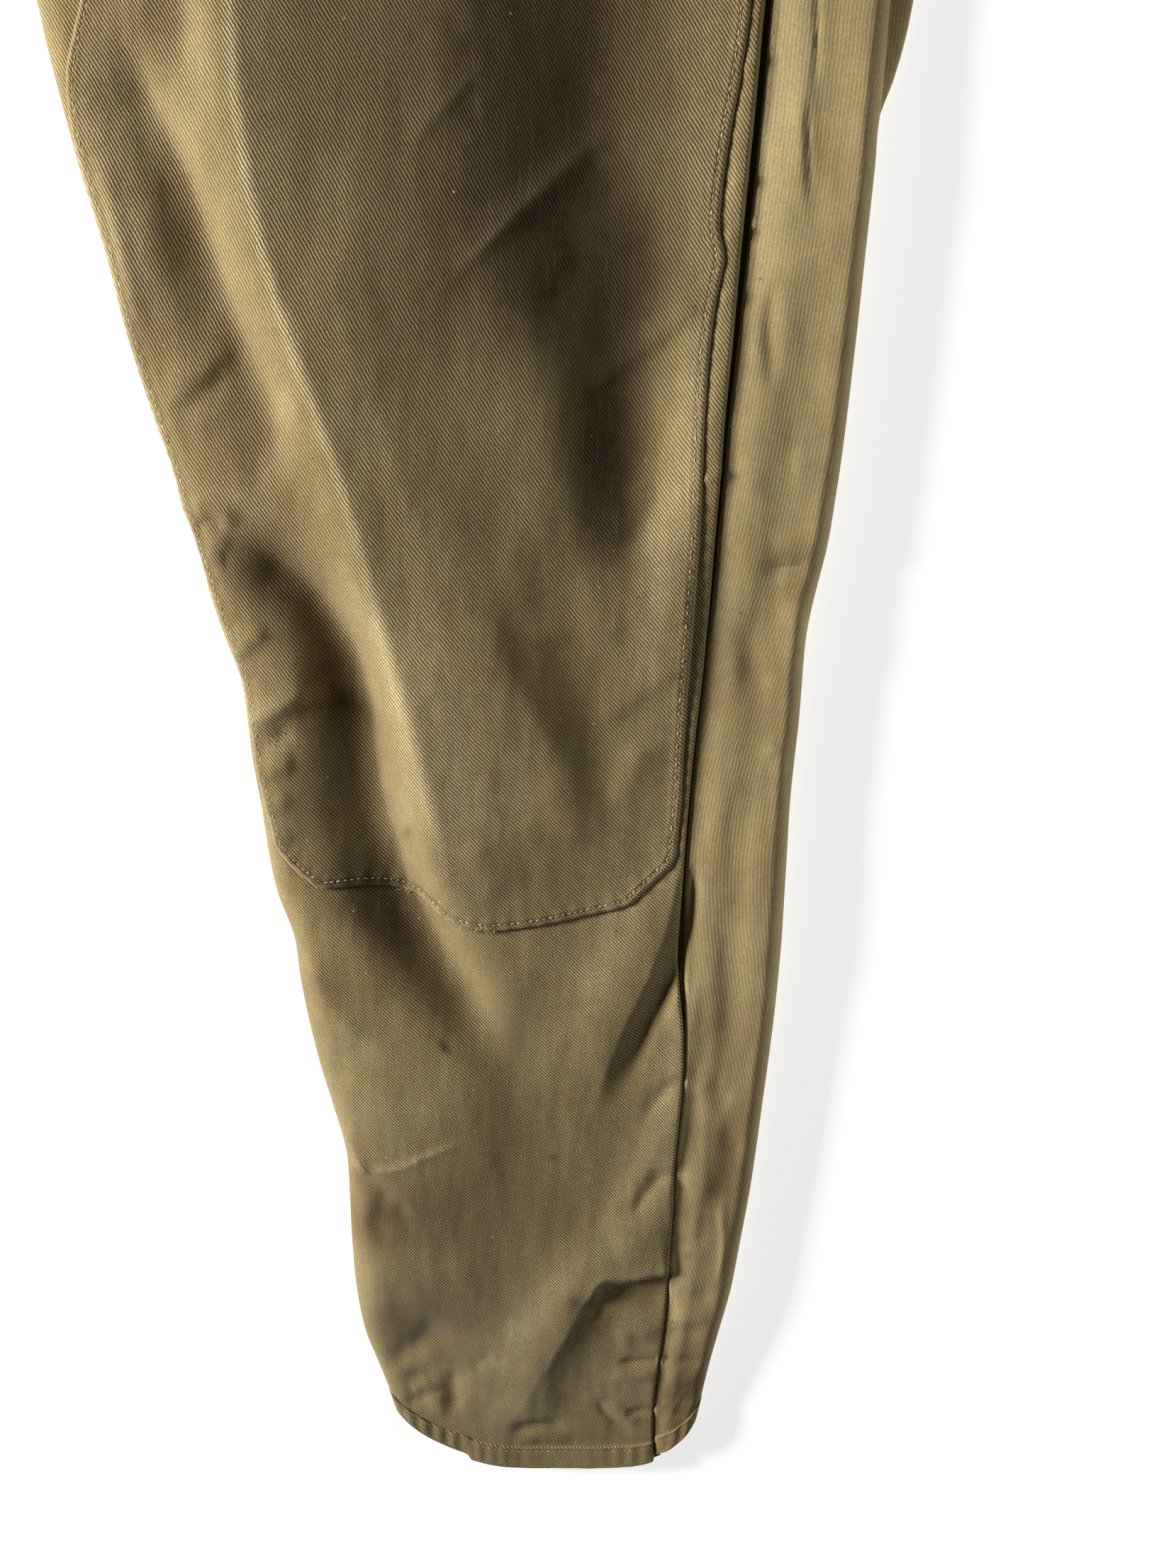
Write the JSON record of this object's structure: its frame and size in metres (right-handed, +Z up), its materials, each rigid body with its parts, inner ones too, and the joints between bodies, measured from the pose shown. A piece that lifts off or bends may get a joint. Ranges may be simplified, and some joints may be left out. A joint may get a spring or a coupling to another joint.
{
  "type": "military trousers",
  "caption": "Khaki cotton drill military riding trousers laid flat, wide at the thigh and narrow at the calf, with large sewn knee patches and a side seam groove.",
  "frame": {"origin": "centre of the outline on the surface that the trousers lie on", "axes": "+Y from the hems to the waist, +X to the wearer's left, +Z up from the surface through the cloth"},
  "size_m": [0.756, 1.019, 0.0298],
  "materials": {
    "cotton_drill": "washed twill",
    "strip_drill": "washed twill, sun-faded",
    "patch_drill": "worn twill",
    "button_horn": "satin"
  },
  "bodies": {
    "root": {"front_left": "cotton_drill", "front_right": "cotton_drill", "back_left": "strip_drill", "back_right": "strip_drill", "knee_patch_left": "patch_drill", "knee_patch_right": "patch_drill", "waistband_left": "cotton_drill", "waistband_right": "cotton_drill", "fly_guard": "cotton_drill", "waist_button": "button_horn"}
  },
  "joints": []
}
